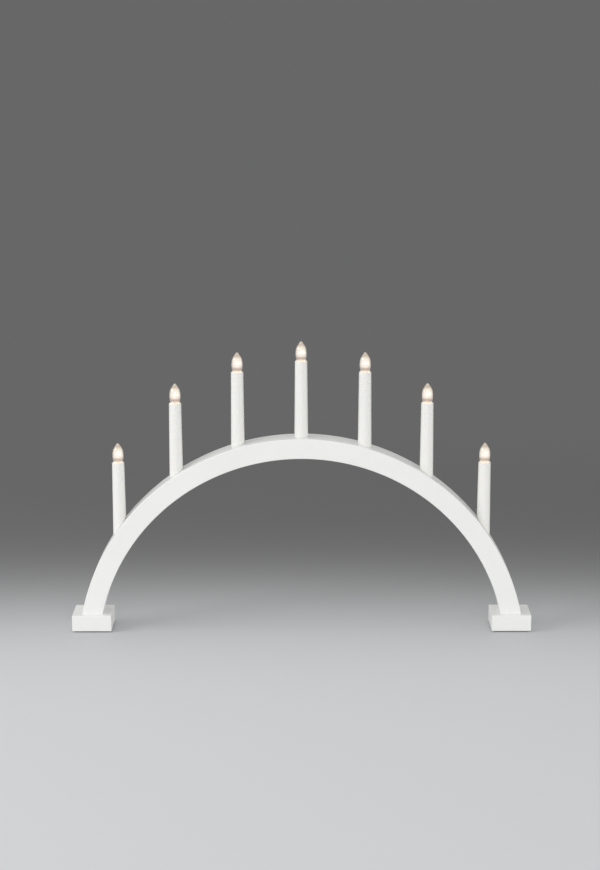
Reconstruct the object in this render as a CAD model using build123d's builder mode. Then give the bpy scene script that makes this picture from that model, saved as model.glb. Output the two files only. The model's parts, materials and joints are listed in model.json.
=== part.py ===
from build123d import *
from math import atan, atan2, cos, degrees, hypot, radians, sin, sqrt, tan
import os

# A candle arch: a bent wooden arch on two block feet, with seven electric candles standing in it.
# Millimetres. X runs along the width, the front faces -Y, Z is up from the surface it stands on.

# Shared values
overrun = 2.0  # how far a cut runs past the face that it opens
glue_line = 0.1  # room for glue between two pieces
fit_gap = 0.05  # play of a piece pressed into another
move_gap = 0.3  # play between pieces that pass each other

# Feet, pads and foot screws
overall_width = 550.0
foot_width = 47.0
foot_depth = 42.0
foot_height = 19.5
foot_edge_radius = 0.7
foot_overhang = 11.7  # from the foot's outer side to the arch's outer face on it
pad_thickness = 1.2
pad_radius = 4.5
pad_inset = 2.5  # from the foot's sides to the pad's rim
screw_inset = 6.5  # from the arch's front and back faces to a screw's axis
screw_length = 38.0
screw_radius = 2.0
screw_head_radius = 4.0
screw_head_height = 2.4
screw_head_recess = 0.4
screw_tip_length = 3.0
screw_cross_width = 0.9
screw_cross_length = 4.4
screw_cross_depth = 1.5
screw_play = 0.15

# Arch
arch_rise = 215.8  # from the top of the feet to the crown
arch_thickness = 24.0
arch_depth = 30.0
arch_edge_radius = 0.9
arch_end_radius = 0.4

# Channel in the arch's inner face, and its cover
channel_width = 9.0
channel_depth = 5.5
rebate_width = 12.0
rebate_depth = 1.6
cover_recess = 0.1

# Candle sleeves
candle_place_shares = (-0.824, -0.563, -0.2845, 0, 0.2845, 0.563, 0.824)
sleeve_rise = 90.5  # from the arch's surface on the sleeve's lower side to the rim
seat_depth = 7.0
sleeve_foot_radius = 8.1
sleeve_rim_radius = 7.2
sleeve_wall = 1.4
sleeve_rim_round = 0.5
mouth_depth = 20.5  # from the rim down to the ledge that carries the lampholder
ledge_radius = 4.6
ledge_thickness = 1.5
wire_hole_radius = 2.6

# Lampholders
holder_top_drop = 2.5  # from the rim down to the holder's upper edge
holder_floor_drop = 17.1  # from the rim down to the holder's floor
holder_edge_radius = 0.2
shell_top_drop = 6.3
shell_wall = 0.3
tail_width = 2.2
tail_thickness = 0.4
tail_drop = 24.0  # from the rim down to the ends of the solder tails
tail_place = 3.0  # from the candle's axis to the middle of a solder tail
leaf_width = 3.2
leaf_reach = 1.6  # how far the contact leaf runs past the candle's axis

# Bulbs
bulb_rise = 23.4  # from the rim up to the tip of the glass
neck_radius = 5.6
belly_radius = 6.5
glass_wall = 0.6
glass_root_drop = 5.2
cap_top_drop = 3.0
cap_skirt_height = 2.5
cap_shoulder_height = 0.5
cap_wall = 0.3
crest_radius = 4.75
thread_depth = 0.5
thread_pitch = 1.814
thread_turns = 4
thread_play = 0.1
cap_bottom_drop = 14.0
insulator_height = 1.6
insulator_low_radius = 2.4
contact_radius = 1.8
contact_height = 0.8
contact_play = 0.2
# Points of the glass above the rim: share of the rise, share of the belly's radius
glass_outline_shares = ((0.36, 1.0), (0.64, 0.88), (0.8, 0.56), (0.885, 0.3))
glass_tip_shares = (0.96, 0.21)
glass_tip_thickening = 0.9  # how much thicker than the wall the glass is at its tip

# Stem and filament
stem_radius = 1.4
stem_top_rise = 3.6
stem_flare_height = 7.6
stem_round_height = 0.5
filament_radius = 0.25
filament_shoulder_rise = 9.0
filament_top_rise = 11.0
filament_root = 2.0  # how deep the filament's wires stand in the stem
filament_foot_half_span = 0.7
filament_half_span = 2.2
filament_bend_radius = 1.2

# Wires
wire_radius = 0.7
wire_pair_half_gap = 1.1  # from the wire hole's axis to each of its two wires
wire_bend_radius = 2.2
wire_straight = 6.0  # length of the straight end of a wire at a tail or a crimp
wire_chord = 20.0  # length of the steps that follow the arch
wire_bend_share = 0.45
sharp_turn = 70.0  # degrees
return_side = -3.0  # the return wire's distance from the arch's middle plane
return_hole_side = -1.2
return_cross = 3.0  # length along the arch in which the return wire moves to its side
crimp_radius = 1.3
crimp_length = 8.0
crimp_side = 2.2
core_length = 8.5  # of the cord's bare cores, from the bushing up to the crimps

# Bushing for the cord at the back of the right leg
bushing_inset = 5.7  # from the arch's inner face to the bushing's axis
bushing_bore_radius = 2.6
bushing_wall = 0.9
bushing_flange_radius = 4.8
bushing_flange_height = 1.4
bushing_edge_radius = 0.5
bushing_rest = 1.5  # from the flange's rim down to the foot

# Places worked out from the values above
foot_x = (overall_width - foot_width) / 2
foot_top = pad_thickness + foot_height
half_span = overall_width / 2 - foot_overhang
arch_radius = (half_span**2 + arch_rise**2) / (2 * arch_rise)
arch_inner_radius = arch_radius - arch_thickness
arch_centre = foot_top + arch_rise - arch_radius
channel_radius = arch_inner_radius + channel_depth
rebate_radius = arch_inner_radius + rebate_depth
wire_arc_radius = (rebate_radius + channel_radius) / 2
candles = [share * half_span for share in candle_place_shares]

leg_inner_x = sqrt(arch_inner_radius**2 - (foot_top - arch_centre) ** 2)
leg_x = (leg_inner_x + half_span) / 2  # middle of the leg's end, where the screws go in
screw_spacing = arch_depth - 2 * screw_inset

pad_grid_x = foot_width - 2 * (pad_inset + pad_radius)
pad_grid_y = foot_depth - 2 * (pad_inset + pad_radius)
screw_low = pad_thickness + screw_head_recess
screw_head_slope = (screw_head_radius - screw_radius) / screw_head_height
sink_radius = screw_head_radius + screw_play + screw_head_recess * screw_head_slope

sleeve_length = sleeve_rise + seat_depth
sleeve_taper = (sleeve_foot_radius - sleeve_rim_radius) / sleeve_length
ledge_drop = mouth_depth + ledge_thickness
mouth_radius = neck_radius + move_gap
holder_radius = mouth_radius - fit_gap
shell_bore_radius = crest_radius + thread_play
shell_radius = shell_bore_radius + shell_wall
holder_bore_radius = shell_radius + fit_gap

root_radius = crest_radius - thread_depth
skirt_radius = holder_bore_radius - move_gap
skirt_bore_radius = skirt_radius - cap_wall
skirt_low_drop = cap_top_drop + cap_skirt_height
glass_root_radius = skirt_bore_radius - glue_line
stem_flare_radius = glass_root_radius - glass_wall - fit_gap
insulator_top_drop = cap_bottom_drop + glue_line
insulator_low_drop = insulator_top_drop + insulator_height
contact_end_drop = insulator_low_drop + contact_height
leaf_top_drop = contact_end_drop + contact_play

inlet_z = foot_top + bushing_flange_radius + bushing_rest
inlet_ring = arch_inner_radius + bushing_inset
inlet_x = sqrt(inlet_ring**2 - (inlet_z - arch_centre) ** 2)
bushing_radius = bushing_bore_radius + bushing_wall
crimp_above_inlet = bushing_radius + core_length + crimp_length / 2


def low_edge(x):
    """Height of the arch's outer face on the lower side of the sleeve at x."""
    return arch_centre + sqrt(arch_radius**2 - (abs(x) + sleeve_foot_radius) ** 2)


def rim(x):
    """Height of the rim of the sleeve at x."""
    return low_edge(x) + sleeve_rise


def seat(x):
    """Height of the floor of the sleeve's seat at x."""
    return low_edge(x) - seat_depth


def front_plane(x, y, z):
    """Plane that faces the front, with its origin at the given place."""
    return Plane(origin=(x, y, z), x_dir=(1, 0, 0), z_dir=(0, -1, 0))


def upright_axis(x, y):
    """Axis that points up at the given place."""
    return Axis((x, y, 0), (0, 0, 1))


def ring_point(angle, radius, y):
    """Place at an angle from the crown and a radius about the arch's centre."""
    return Vector(radius * sin(angle), y, arch_centre + radius * cos(angle))


def ring_tangent(angle):
    """Direction along the arch at an angle from the crown, away from the left end."""
    return Vector(cos(angle), 0, -sin(angle))


def candle_angle(x):
    """Angle from the crown, about the arch's centre, of the floor of the seat at x."""
    return atan2(x, seat(x) - arch_centre)


def hole_plane(x):
    """Plane across the wire hole at x, on the seat's floor, facing out of the arch."""
    angle = candle_angle(x)
    return Plane(
        origin=(x, 0, seat(x)),
        x_dir=tuple(ring_tangent(angle)),
        z_dir=(sin(angle), 0, cos(angle)),
    )


def draw_band(inner, outer, low):
    """Draws a strip about the arch's centre between two radii, cut level at a height."""
    inner_x = sqrt(inner**2 - (low - arch_centre) ** 2)
    outer_x = sqrt(outer**2 - (low - arch_centre) ** 2)
    ThreePointArc((-outer_x, low), (0, arch_centre + outer), (outer_x, low))
    Line((outer_x, low), (inner_x, low))
    ThreePointArc((inner_x, low), (0, arch_centre + inner), (-inner_x, low))
    Line((-inner_x, low), (-outer_x, low))


def save(part, name):
    """Labels a finished piece and writes it."""
    part.label = name
    export_step(part, f"parts/{name}.step")


os.makedirs("parts", exist_ok=True)

# Feet: blocks with screw holes countersunk from below
for side, name in ((-1, "foot_left"), (1, "foot_right")):
    with BuildPart() as foot:
        with BuildSketch(Plane.XY.offset(pad_thickness)):
            with Locations((side * foot_x, 0)):
                Rectangle(foot_width, foot_depth)
        extrude(amount=foot_height)
        fillet(foot.edges(), radius=foot_edge_radius)
        under = Plane(origin=(side * leg_x, 0, pad_thickness), x_dir=(1, 0, 0), z_dir=(0, 0, -1))
        with Locations(under):
            with GridLocations(0, screw_spacing, 1, 2):
                CounterSinkHole(
                    radius=screw_radius + screw_play,
                    counter_sink_radius=sink_radius,
                    depth=foot_height + overrun,
                    counter_sink_angle=2 * degrees(atan(screw_head_slope)),
                )
    save(foot.part, name)

# Pads: four felt discs under each foot
with BuildPart() as foot_pads:
    with BuildSketch(Plane.XY):
        with Locations((-foot_x, 0), (foot_x, 0)):
            with GridLocations(pad_grid_x, pad_grid_y, 2, 2):
                Circle(pad_radius)
    extrude(amount=pad_thickness)
save(foot_pads.part, "foot_pads")

# Screws: two up through each foot into the arch's end
with BuildPart() as foot_screws:
    for x in (-leg_x, leg_x):
        for y in (-screw_spacing / 2, screw_spacing / 2):
            with BuildSketch(front_plane(x, y, screw_low)):
                with BuildLine():
                    Polyline(
                        (0, 0),
                        (screw_head_radius, 0),
                        (screw_radius, screw_head_height),
                        (screw_radius, screw_length - screw_tip_length),
                        (0, screw_length),
                        close=True,
                    )
                make_face()
            revolve(axis=upright_axis(x, y))
            with BuildSketch(Plane.XY.offset(screw_low)):
                with Locations((x, y)):
                    Rectangle(screw_cross_length, screw_cross_width)
                    Rectangle(screw_cross_width, screw_cross_length)
            extrude(amount=screw_cross_depth, mode=Mode.SUBTRACT)
save(foot_screws.part, "foot_screws")

# Arch: a bent strip with a channel along its inner face, and seats for the candles
with BuildPart() as arch:
    with BuildSketch(Plane.XZ):
        with BuildLine():
            draw_band(arch_inner_radius, arch_radius, foot_top)
        make_face()
    extrude(amount=arch_depth / 2, both=True)
    fillet(arch.edges().filter_by(GeomType.CIRCLE), radius=arch_edge_radius)
    fillet(arch.faces().filter_by(Axis.Z).edges(), radius=arch_end_radius)
    for radius, width in ((channel_radius, channel_width), (rebate_radius, rebate_width)):
        with BuildSketch(Plane.XZ):
            with Locations((0, arch_centre)):
                Circle(radius)
                Circle(arch_inner_radius - overrun, mode=Mode.SUBTRACT)
        extrude(amount=width / 2, both=True, mode=Mode.SUBTRACT)
    for x in candles:
        high_x = max(abs(x) - sleeve_foot_radius, 0)
        high_edge = arch_centre + sqrt(arch_radius**2 - high_x**2)
        with BuildSketch(Plane.XY.offset(seat(x))):
            with Locations((x, 0)):
                Circle(sleeve_foot_radius + glue_line)
        extrude(amount=high_edge - seat(x) + overrun, mode=Mode.SUBTRACT)
        lead = 2 * wire_hole_radius
        with BuildSketch(hole_plane(x).offset(lead)):
            Circle(wire_hole_radius)
        hole_depth = hypot(x, seat(x) - arch_centre) - wire_arc_radius
        extrude(amount=-(lead + hole_depth), mode=Mode.SUBTRACT)
    with BuildSketch(Plane(origin=(inlet_x, 0, inlet_z), x_dir=(1, 0, 0), z_dir=(0, 1, 0))):
        Circle(bushing_radius + fit_gap)
    extrude(amount=arch_depth / 2 + overrun, mode=Mode.SUBTRACT)
    with BuildSketch(Plane.XY.offset(foot_top - overrun)):
        with Locations((-leg_x, 0), (leg_x, 0)):
            with GridLocations(0, screw_spacing, 1, 2):
                Circle(screw_radius + fit_gap)
    screw_reach = screw_low + screw_length + move_gap - foot_top
    extrude(amount=overrun + screw_reach, mode=Mode.SUBTRACT)
save(arch.part, "arch")

# Cover: a thin strip glued into the rebate along the arch's inner face
with BuildPart() as channel_cover:
    with BuildSketch(Plane.XZ):
        with BuildLine():
            draw_band(arch_inner_radius + cover_recess, rebate_radius - glue_line, foot_top)
        make_face()
    extrude(amount=rebate_width / 2 - glue_line, both=True)
save(channel_cover.part, "channel_cover")

# Bushing: a flanged tube in the back of the right leg, where the cord comes in
with BuildPart() as cord_bushing:
    back = Plane(origin=(inlet_x, arch_depth / 2, inlet_z), x_dir=(1, 0, 0), z_dir=(0, 1, 0))
    with BuildSketch(back):
        Circle(bushing_flange_radius)
    extrude(amount=bushing_flange_height)
    fillet(cord_bushing.edges().sort_by(Axis.Y)[-1], radius=bushing_edge_radius)
    with BuildSketch(back):
        Circle(bushing_radius)
    extrude(amount=-(arch_depth - channel_width) / 2)
    with BuildSketch(back.offset(bushing_flange_height + overrun)):
        Circle(bushing_bore_radius)
    bore_length = bushing_flange_height + (arch_depth - channel_width) / 2
    extrude(amount=-(bore_length + 2 * overrun), mode=Mode.SUBTRACT)
save(cord_bushing.part, "cord_bushing")

# Sleeves, lampholders and socket shells: one of each to every candle
for number, x in enumerate(candles, start=1):
    top = rim(x)
    with BuildPart() as candle_sleeve:
        ledge_bore_radius = sleeve_rim_radius + ledge_drop * sleeve_taper - sleeve_wall
        with BuildSketch(front_plane(x, 0, top)):
            with BuildLine():
                Polyline(
                    (sleeve_foot_radius - sleeve_wall, -sleeve_length),
                    (sleeve_foot_radius, -sleeve_length),
                    (sleeve_rim_radius, 0),
                    (mouth_radius, 0),
                    (mouth_radius, -mouth_depth),
                    (ledge_radius, -mouth_depth),
                    (ledge_radius, -ledge_drop),
                    (ledge_bore_radius, -ledge_drop),
                    close=True,
                )
            make_face()
        revolve(axis=upright_axis(x, 0))
        fillet(candle_sleeve.edges().group_by(Axis.Z)[-1], radius=sleeve_rim_round)
    save(candle_sleeve.part, f"candle_sleeve_{number}")

    with BuildPart() as lampholder:
        with BuildSketch(front_plane(x, 0, top)):
            with BuildLine():
                Polyline(
                    (0, -mouth_depth),
                    (holder_radius, -mouth_depth),
                    (holder_radius, -holder_top_drop),
                    (holder_bore_radius, -holder_top_drop),
                    (holder_bore_radius, -holder_floor_drop),
                    (0, -holder_floor_drop),
                    close=True,
                )
            make_face()
        revolve(axis=upright_axis(x, 0))
        fillet(lampholder.edges().group_by(Axis.Z)[-1], radius=holder_edge_radius)
        with BuildSketch(Plane.XY.offset(top - mouth_depth - overrun)):
            with Locations((x - tail_place, 0), (x + tail_place, 0)):
                Rectangle(tail_thickness + 2 * glue_line, tail_width + 2 * glue_line)
        floor_thickness = mouth_depth - holder_floor_drop
        extrude(amount=floor_thickness + 2 * overrun, mode=Mode.SUBTRACT)
    save(lampholder.part, f"lampholder_{number}")

    with BuildPart() as socket_shell:
        with BuildSketch(Plane.XY.offset(top - holder_floor_drop)):
            with Locations((x, 0)):
                Circle(shell_radius)
                Circle(shell_bore_radius, mode=Mode.SUBTRACT)
        extrude(amount=holder_floor_drop - shell_top_drop)
        with BuildSketch(front_plane(x, 0, top)):
            with BuildLine():
                Polyline(
                    (tail_place - tail_thickness / 2, -tail_drop),
                    (tail_place + tail_thickness / 2, -tail_drop),
                    (tail_place + tail_thickness / 2, -holder_floor_drop),
                    (shell_bore_radius + shell_wall / 2, -holder_floor_drop),
                    (shell_bore_radius + shell_wall / 2, tail_thickness - holder_floor_drop),
                    (tail_place - tail_thickness / 2, tail_thickness - holder_floor_drop),
                    close=True,
                )
            make_face()
        extrude(amount=tail_width / 2, both=True)
    save(socket_shell.part, f"socket_shell_{number}")

# Centre contacts: a leaf on each holder's floor, with a tail down through it
with BuildPart() as centre_contacts:
    for x in candles:
        with BuildSketch(front_plane(x, 0, rim(x))):
            with BuildLine():
                Polyline(
                    (-tail_place - tail_thickness / 2, -leaf_top_drop),
                    (-tail_place - tail_thickness / 2, -tail_drop),
                    (-tail_place + tail_thickness / 2, -tail_drop),
                    (-tail_place + tail_thickness / 2, -holder_floor_drop),
                    (leaf_reach, -holder_floor_drop),
                    (leaf_reach, -leaf_top_drop),
                    close=True,
                )
            make_face()
        extrude(amount=tail_width / 2, both=True)
        with BuildSketch(Plane.XY.offset(rim(x) - holder_floor_drop)):
            with Locations((x, 0)):
                Rectangle(2 * leaf_reach, leaf_width)
        extrude(amount=holder_floor_drop - leaf_top_drop)
save(centre_contacts.part, "centre_contacts")


def glass_points(inset):
    """Points up the glass from its neck, set in from the outer face."""
    rise = bulb_rise - inset
    points = [(glass_root_radius - inset, glue_line - cap_top_drop), (neck_radius - inset, 0)]
    for height_share, radius_share in glass_outline_shares:
        points.append((radius_share * belly_radius - inset, height_share * rise))
    return points


# Bulbs: contact tip, screw cap, glass, and the stem with its filament
for number, x in enumerate(candles, start=1):
    top = rim(x)
    with BuildPart() as bulb_tip:
        with BuildSketch(front_plane(x, 0, top)):
            with BuildLine():
                Polyline(
                    (0, -contact_end_drop),
                    (0, -insulator_top_drop),
                    (root_radius, -insulator_top_drop),
                    (insulator_low_radius, -insulator_low_drop),
                    (contact_radius, -insulator_low_drop),
                )
                RadiusArc(
                    (contact_radius, -insulator_low_drop),
                    (0, -contact_end_drop),
                    (contact_radius**2 + contact_height**2) / (2 * contact_height),
                )
            make_face()
        revolve(axis=upright_axis(x, 0))
    save(bulb_tip.part, f"bulb_{number}_tip")

    with BuildPart() as bulb_cap:
        with BuildSketch(front_plane(x, 0, top)):
            with BuildLine():
                Polyline(
                    (skirt_bore_radius, -cap_top_drop),
                    (skirt_radius, -cap_top_drop),
                    (skirt_radius, -skirt_low_drop),
                    (root_radius, -skirt_low_drop - cap_shoulder_height),
                    (root_radius, -cap_bottom_drop),
                    (root_radius - cap_wall, -cap_bottom_drop),
                    (root_radius - cap_wall, -skirt_low_drop - cap_shoulder_height + cap_wall / 2),
                    (skirt_bore_radius, -skirt_low_drop + cap_wall / 2),
                    close=True,
                )
            make_face()
            lowest_ridge = cap_bottom_drop - thread_depth - cap_wall
            for turn in range(thread_turns):
                with Locations((root_radius - cap_wall / 2, turn * thread_pitch - lowest_ridge)):
                    Circle(thread_depth + cap_wall / 2)
            bore_height = cap_bottom_drop - skirt_low_drop - cap_shoulder_height
            with Locations((0, -cap_bottom_drop)):
                Rectangle(
                    root_radius - cap_wall,
                    bore_height,
                    align=(Align.MIN, Align.MIN),
                    mode=Mode.SUBTRACT,
                )
        revolve(axis=upright_axis(x, 0))
    save(bulb_cap.part, f"bulb_{number}_cap")

    with BuildPart() as bulb_glass:
        with BuildSketch(front_plane(x, 0, top)):
            with BuildLine():
                outer = glass_points(0)
                inner = glass_points(glass_wall)
                tip_height_share, tip_radius_share = glass_tip_shares
                Spline(
                    *outer,
                    (tip_radius_share * belly_radius, tip_height_share * bulb_rise),
                    (0, bulb_rise),
                    tangents=((0, 1), (-1, 0)),
                )
                inner_top = bulb_rise - glass_wall - glass_tip_thickening
                Line((0, bulb_rise), (0, inner_top))
                Spline(*inner, (0, inner_top), tangents=((0, 1), (-1, 0)))
                Polyline(
                    inner[0],
                    (inner[0][0], -glass_root_drop),
                    (outer[0][0], -glass_root_drop),
                    outer[0],
                )
            make_face()
        revolve(axis=upright_axis(x, 0))
    save(bulb_glass.part, f"bulb_{number}_glass")

    with BuildPart() as bulb_filament:
        with BuildSketch(front_plane(x, 0, top)):
            with BuildLine():
                Polyline(
                    (0, -glass_root_drop),
                    (stem_flare_radius, -glass_root_drop),
                    (stem_radius, stem_flare_height - glass_root_drop),
                    (stem_radius, stem_top_rise - stem_round_height),
                    (stem_radius - stem_round_height, stem_top_rise),
                    (0, stem_top_rise),
                    close=True,
                )
            make_face()
        revolve(axis=upright_axis(x, 0))
        with BuildLine(front_plane(x, 0, top)) as filament_line:
            FilletPolyline(
                (-filament_foot_half_span, stem_top_rise - filament_root),
                (-filament_half_span, filament_shoulder_rise),
                (0, filament_top_rise),
                (filament_half_span, filament_shoulder_rise),
                (filament_foot_half_span, stem_top_rise - filament_root),
                radius=filament_bend_radius,
            )
        path = filament_line.wires()[0]
        with BuildSketch(Plane(origin=path @ 0, z_dir=path % 0)):
            Circle(filament_radius)
        sweep(path=path)
    save(bulb_filament.part, f"bulb_{number}_filament")


def wire_down(x, side, hole_side):
    """Points of a wire from a solder tail of the candle at x down into the channel."""
    tail_x = x + side * tail_place
    tail_z = rim(x) - tail_drop
    hole = hole_plane(x)
    channel_drop = hypot(x, seat(x) - arch_centre) - wire_arc_radius
    return [
        Vector(tail_x, 0, tail_z),
        Vector(tail_x, 0, tail_z - wire_straight),
        hole.from_local_coords((side * wire_pair_half_gap, 0, 2 * wire_hole_radius)),
        hole.from_local_coords((side * wire_pair_half_gap, hole_side, -channel_drop)),
    ]


def wire_along(start, end, y, first=0):
    """Points along the channel between two angles from the crown."""
    steps = max(round(abs(end - start) * wire_arc_radius / wire_chord), 2)
    turns = [start + (end - start) * step / steps for step in range(first, steps)]
    return [ring_point(angle, wire_arc_radius, y) for angle in turns]


def ring_angle(point):
    """Angle of a place from the crown, about the arch's centre."""
    return atan2(point.X, point.Z - arch_centre)


def bend_radii(points):
    """Radius at each corner of a wire, as large as its two runs allow."""
    radii = []
    for before, corner, after in zip(points, points[1:], points[2:]):
        run_in = corner - before
        run_out = after - corner
        turn = run_in.get_angle(run_out)
        shorter = min(run_in.length, run_out.length)
        radius = wire_bend_share * shorter / tan(radians(turn) / 2)
        radii.append(min(radius, wire_bend_radius) if turn > sharp_turn else radius)
    return radii


# Places where the wires end at the crimps
inlet_angle = atan2(inlet_x, inlet_z - arch_centre)
crimp_angle = inlet_angle - crimp_above_inlet / wire_arc_radius


def crimp_end(y):
    """Last two points of a wire that runs straight into its crimp."""
    middle = ring_point(crimp_angle, wire_arc_radius, y)
    along = ring_tangent(crimp_angle)
    return [
        middle - along * (crimp_length / 2 + wire_straight),
        middle - along * (crimp_length / 2),
    ]


# Routes: feed to the right candle, links from each candle to the next, return from the left one
feed = wire_down(candles[-1], 1, 0)
feed_end = crimp_end(crimp_side)
feed_side_angle = ring_angle(feed[-1]) + wire_chord / wire_arc_radius / 2
feed_route = feed + wire_along(feed_side_angle, ring_angle(feed_end[0]), crimp_side) + feed_end

back = wire_down(candles[0], -1, return_hole_side)
back_end = crimp_end(-crimp_side)
back_side_angle = ring_angle(back[-1]) + return_cross / wire_arc_radius
back_route = back + wire_along(back_side_angle, ring_angle(back_end[0]), return_side) + back_end

link_routes = []
for left, right in zip(candles, candles[1:]):
    start = wire_down(left, 1, 0)
    end = wire_down(right, -1, 0)
    along = wire_along(ring_angle(start[-1]), ring_angle(end[-1]), 0, first=1)
    link_routes.append(start + along + end[::-1])

with BuildPart() as lamp_wires:
    for route in [feed_route, back_route, *link_routes]:
        with BuildLine() as wire_line:
            FilletPolyline(*route, radius=bend_radii(route))
        path = wire_line.wires()[0]
        with BuildSketch(Plane(origin=path @ 0, z_dir=path % 0)):
            Circle(wire_radius)
        sweep(path=path)
save(lamp_wires.part, "lamp_wires")

# Crimps: two ferrules that join the wires to the cord's cores
with BuildPart() as wire_crimps:
    for y in (-crimp_side, crimp_side):
        middle = ring_point(crimp_angle, wire_arc_radius, y)
        with BuildSketch(Plane(origin=middle, z_dir=tuple(ring_tangent(crimp_angle)))):
            Circle(crimp_radius)
        extrude(amount=crimp_length / 2, both=True)
save(wire_crimps.part, "wire_crimps")
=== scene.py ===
"""A white candle arch with seven electric candles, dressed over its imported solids.

The solids carry the shapes of the feet, the candle sleeves and the fittings, and each gets its
finish here. The bent wood is made anew in finer steps. The felt pads and the lamps are made anew
too, with blown glass, rolled screw caps, stems, leads and glowing coils. Lengths are metres in the
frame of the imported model. X runs along the width, the front faces -Y, and Z is up from the surface
that the arch stands on.
"""

import json
import logging
from collections.abc import Sequence
from dataclasses import dataclass
from enum import Enum
from math import acos, atan2, cos, pi, radians, sin, sqrt

import bmesh
import bpy
from mathutils import Matrix, Vector
from mathutils.geometry import interpolate_bezier


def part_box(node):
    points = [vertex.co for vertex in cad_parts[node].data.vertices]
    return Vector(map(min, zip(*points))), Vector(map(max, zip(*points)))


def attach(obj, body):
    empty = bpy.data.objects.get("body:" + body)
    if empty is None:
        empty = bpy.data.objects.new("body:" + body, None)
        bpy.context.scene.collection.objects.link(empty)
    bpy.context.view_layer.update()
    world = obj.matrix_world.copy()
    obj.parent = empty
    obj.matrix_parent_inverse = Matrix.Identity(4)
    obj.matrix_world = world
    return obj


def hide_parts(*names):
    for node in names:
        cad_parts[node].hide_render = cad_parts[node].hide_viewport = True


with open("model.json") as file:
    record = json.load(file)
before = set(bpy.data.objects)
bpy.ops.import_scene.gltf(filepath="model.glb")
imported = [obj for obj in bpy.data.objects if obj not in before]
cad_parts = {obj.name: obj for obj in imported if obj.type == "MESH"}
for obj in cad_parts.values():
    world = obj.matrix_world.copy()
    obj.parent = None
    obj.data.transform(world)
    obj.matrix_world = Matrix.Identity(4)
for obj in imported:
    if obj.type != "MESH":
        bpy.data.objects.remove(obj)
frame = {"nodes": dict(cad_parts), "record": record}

MM = 0.001
WELD = 0.001 * MM
UPRIGHT = (0, 0, 1)
CANDLES = range(1, 8)
LOG = logging.getLogger("candle_arch")

Mesh = bmesh.types.BMesh
Material = bpy.types.Material
Point = Sequence[float]
Outline = list[tuple[float, float]]
Colour = tuple[float, float, float]
Stops = tuple[tuple[float, Colour], ...]


class Link:
    """One output of a tree's nodes, which takes part in Python arithmetic."""

    def __init__(self, nodes: "Nodes", socket: bpy.types.NodeSocket) -> None:
        """Wraps an output socket of one of the tree's nodes."""
        self.nodes = nodes
        self.socket = socket

    def __add__(self, other: "Number") -> "Link":
        """Sum."""
        return self.nodes.maths("ADD", self, other)

    __radd__ = __add__

    def __sub__(self, other: "Number") -> "Link":
        """Difference."""
        return self.nodes.maths("SUBTRACT", self, other)

    def __rsub__(self, other: "Number") -> "Link":
        """Difference from a number."""
        return self.nodes.maths("SUBTRACT", other, self)

    def __mul__(self, other: "Number") -> "Link":
        """Product."""
        return self.nodes.maths("MULTIPLY", self, other)

    __rmul__ = __mul__

    def __truediv__(self, other: "Number") -> "Link":
        """Quotient."""
        return self.nodes.maths("DIVIDE", self, other)

    def __rtruediv__(self, other: "Number") -> "Link":
        """Quotient of a number."""
        return self.nodes.maths("DIVIDE", other, self)

    def __pow__(self, other: "Number") -> "Link":
        """Power."""
        return self.nodes.maths("POWER", self, other)


Number = Link | float


@dataclass(frozen=True)
class Layer:
    """A soft noise: its patches' size, how many finer layers it has, and how strong they are."""

    size: float
    detail: float = 2.0
    rough: float = 0.5


class Nodes:
    """A node tree, with a short way to add each node."""

    def __init__(self, owner: Material | bpy.types.World) -> None:
        """Takes over a node tree.

        Args:
            owner: The material or world whose tree it is.
        """
        owner.use_nodes = True
        self.tree = owner.node_tree
        self.tree.nodes.clear()

    def node(self, kind: str, settings: dict | None = None, **sockets: object) -> bpy.types.Node:
        """Adds a node.

        Args:
            kind: The node's type.
            settings: Its properties, set first. "stops" holds a ramp's places and colours.
            **sockets: Values or links of its inputs, by identifier with "_" for a space.

        Returns:
            The node.
        """
        made = self.tree.nodes.new(kind)
        for name, value in (settings or {}).items():
            if name == "stops":
                for index, (place, colour) in enumerate(value):
                    stops = made.color_ramp.elements
                    stop = stops[index] if index < 2 else stops.new(place)
                    stop.position, stop.color = place, (*colour, 1)
            else:
                setattr(made, name, value)
        inputs = {socket.identifier.replace(" ", "_"): socket for socket in made.inputs}
        for name, value in sockets.items():
            if isinstance(value, Link):
                self.tree.links.new(value.socket, inputs[name])
            elif isinstance(value, bpy.types.NodeSocket):
                self.tree.links.new(value, inputs[name])
            else:
                inputs[name].default_value = value
        return made

    def maths(self, operation: str, first: Number, second: Number = 0.0) -> Link:
        """Adds a Math node and gives its output."""
        made = self.node("ShaderNodeMath", {"operation": operation}, Value=first, Value_001=second)
        return Link(self, made.outputs[0])

    def seen(self) -> Link:
        """Tells sight from light: 1 for what is seen straight, mirrored or through glass.

        Returns:
            The number.
        """
        rays = self.node("ShaderNodeLightPath").outputs
        straight, mirrored, through = (
            Link(self, rays[f"Is {kind} Ray"]) for kind in ("Camera", "Glossy", "Transmission")
        )
        return self.maths("MAXIMUM", self.maths("MAXIMUM", straight, mirrored), through)

    def blend(
        self, share: Link, first: bpy.types.Node, second: bpy.types.Node
    ) -> bpy.types.NodeSocket:
        """Blends two shaders, and gives the output."""
        ends = {"Shader": first.outputs[0], "Shader_001": second.outputs[0]}
        return self.node("ShaderNodeMixShader", Fac=share, **ends).outputs[0]


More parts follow.
